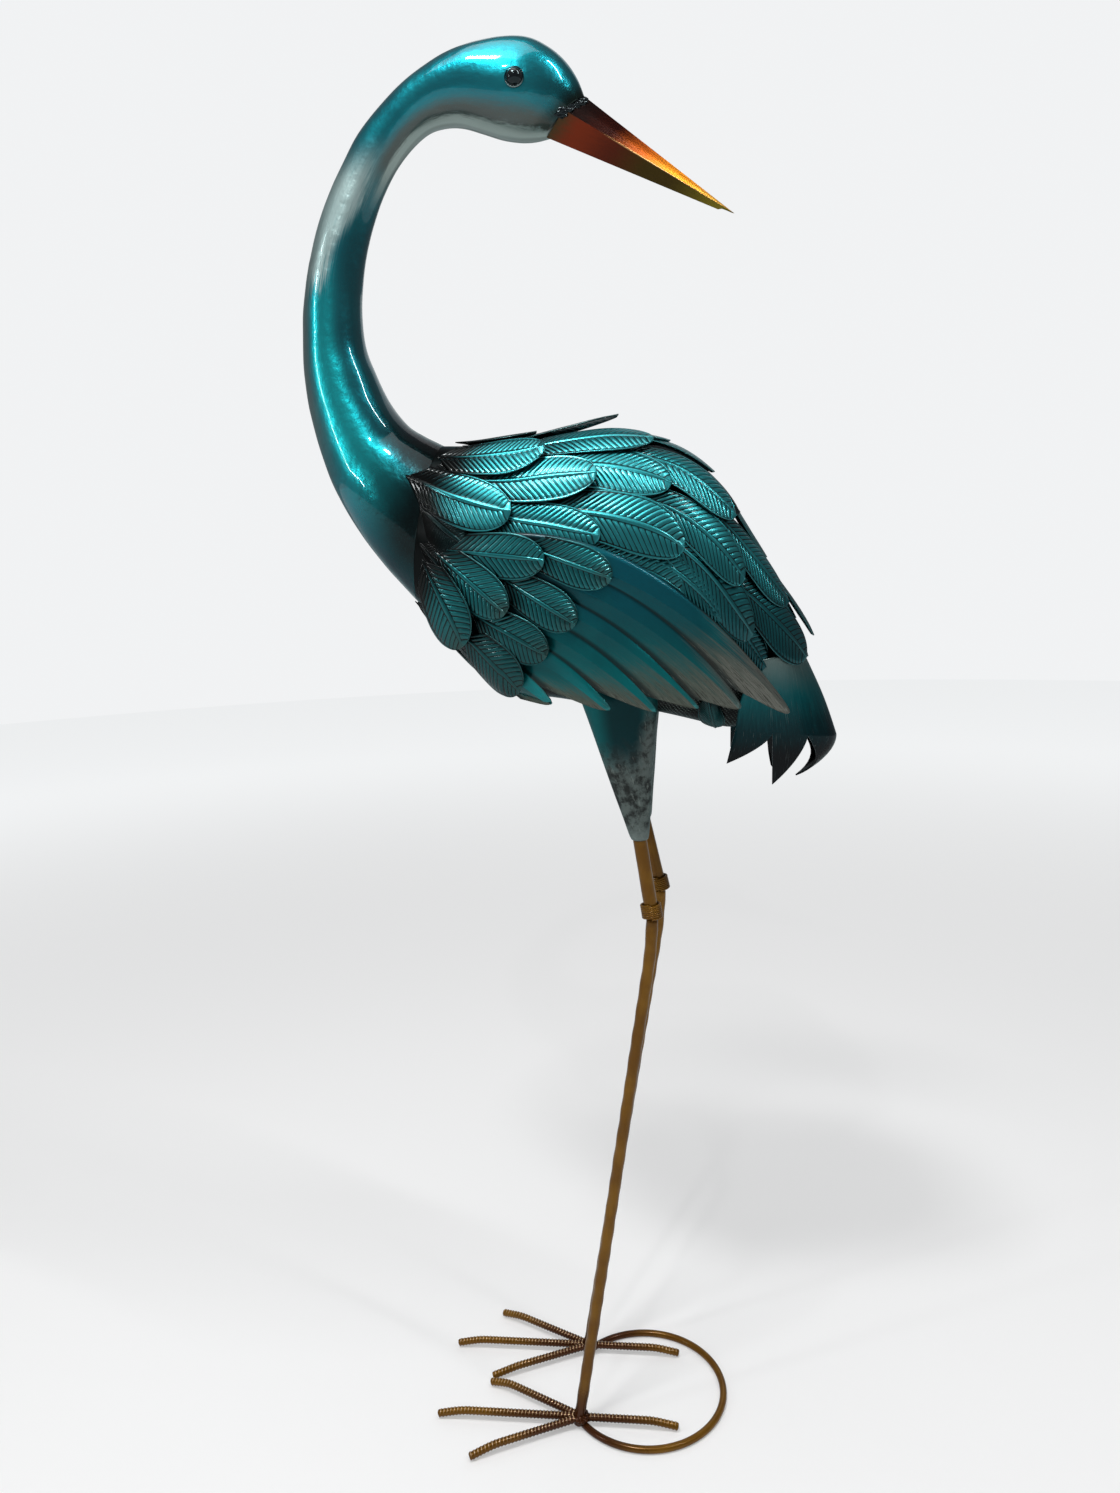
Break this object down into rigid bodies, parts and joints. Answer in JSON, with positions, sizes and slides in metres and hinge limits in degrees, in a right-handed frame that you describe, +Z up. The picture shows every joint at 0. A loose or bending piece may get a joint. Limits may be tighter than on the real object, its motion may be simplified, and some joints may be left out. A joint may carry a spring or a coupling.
{
  "type": "garden heron figure",
  "caption": "Standing garden heron in painted sheet steel, with a curved neck, embossed feathers, rod legs and toes and a ground ring behind the feet",
  "frame": {"origin": "on the ground plane, under the middle of the overall outline", "axes": "+Z up, -X towards the breast, +X towards the tail and the beak's tip, -Y the bird's left side"},
  "size_m": [0.3936, 0.1724, 1.0685],
  "materials": {
    "wing_paint": "gloss",
    "feather_paint": "gloss",
    "tail_paint": "gloss",
    "belly_paint": "gloss",
    "neck_paint": "gloss",
    "beak_paint": "gloss",
    "thigh_paint": "gloss",
    "leg_paint": "satin",
    "eye_gloss": "gloss"
  },
  "bodies": {
    "root": {"beak": "beak_paint", "body": "belly_paint", "crest_feather": "feather_paint", "ground_ring": "leg_paint", "left_back_feather": "feather_paint", "left_back_toe": "leg_paint", "left_breast_wing_feather": "wing_paint", "left_eye": "eye_gloss", "left_flank_feather": "feather_paint", "left_hip_feather": "feather_paint", "left_inner_toe": "leg_paint", "left_knee_coil": "leg_paint", "left_loin_feather": "feather_paint", "left_lower_front_wing_feather": "wing_paint", "left_lower_leg": "leg_paint", "left_lower_rear_wing_feather": "wing_paint", "left_middle_front_wing_feather": "wing_paint", "left_middle_rear_wing_feather": "wing_paint", "left_middle_toe": "leg_paint", "left_nape_feather": "feather_paint", "left_neck_side_feather": "feather_paint", "left_outer_toe": "leg_paint", "left_rump_feather": "feather_paint", "left_shoulder_feather": "feather_paint", "left_side_feather": "feather_paint", "left_tail_cover_feather": "feather_paint", "left_thigh": "thigh_paint", "left_upper_front_wing_feather": "wing_paint", "left_upper_leg": "leg_paint", "left_upper_rear_wing_feather": "wing_paint", "left_wing": "wing_paint", "neck_and_head": "neck_paint", "right_back_feather": "feather_paint", "right_back_toe": "leg_paint", "right_breast_wing_feather": "wing_paint", "right_eye": "eye_gloss", "right_flank_feather": "feather_paint", "right_hip_feather": "feather_paint", "right_inner_toe": "leg_paint", "right_knee_coil": "leg_paint", "right_loin_feather": "feather_paint", "right_lower_front_wing_feather": "wing_paint", "right_lower_leg": "leg_paint", "right_lower_rear_wing_feather": "wing_paint", "right_middle_front_wing_feather": "wing_paint", "right_middle_rear_wing_feather": "wing_paint", "right_middle_toe": "leg_paint", "right_nape_feather": "feather_paint", "right_neck_side_feather": "feather_paint", "right_outer_toe": "leg_paint", "right_rump_feather": "feather_paint", "right_shoulder_feather": "feather_paint", "right_side_feather": "feather_paint", "right_tail_cover_feather": "feather_paint", "right_thigh": "thigh_paint", "right_upper_front_wing_feather": "wing_paint", "right_upper_leg": "leg_paint", "right_upper_rear_wing_feather": "wing_paint", "right_wing": "wing_paint", "tail": "tail_paint"}
  },
  "joints": []
}
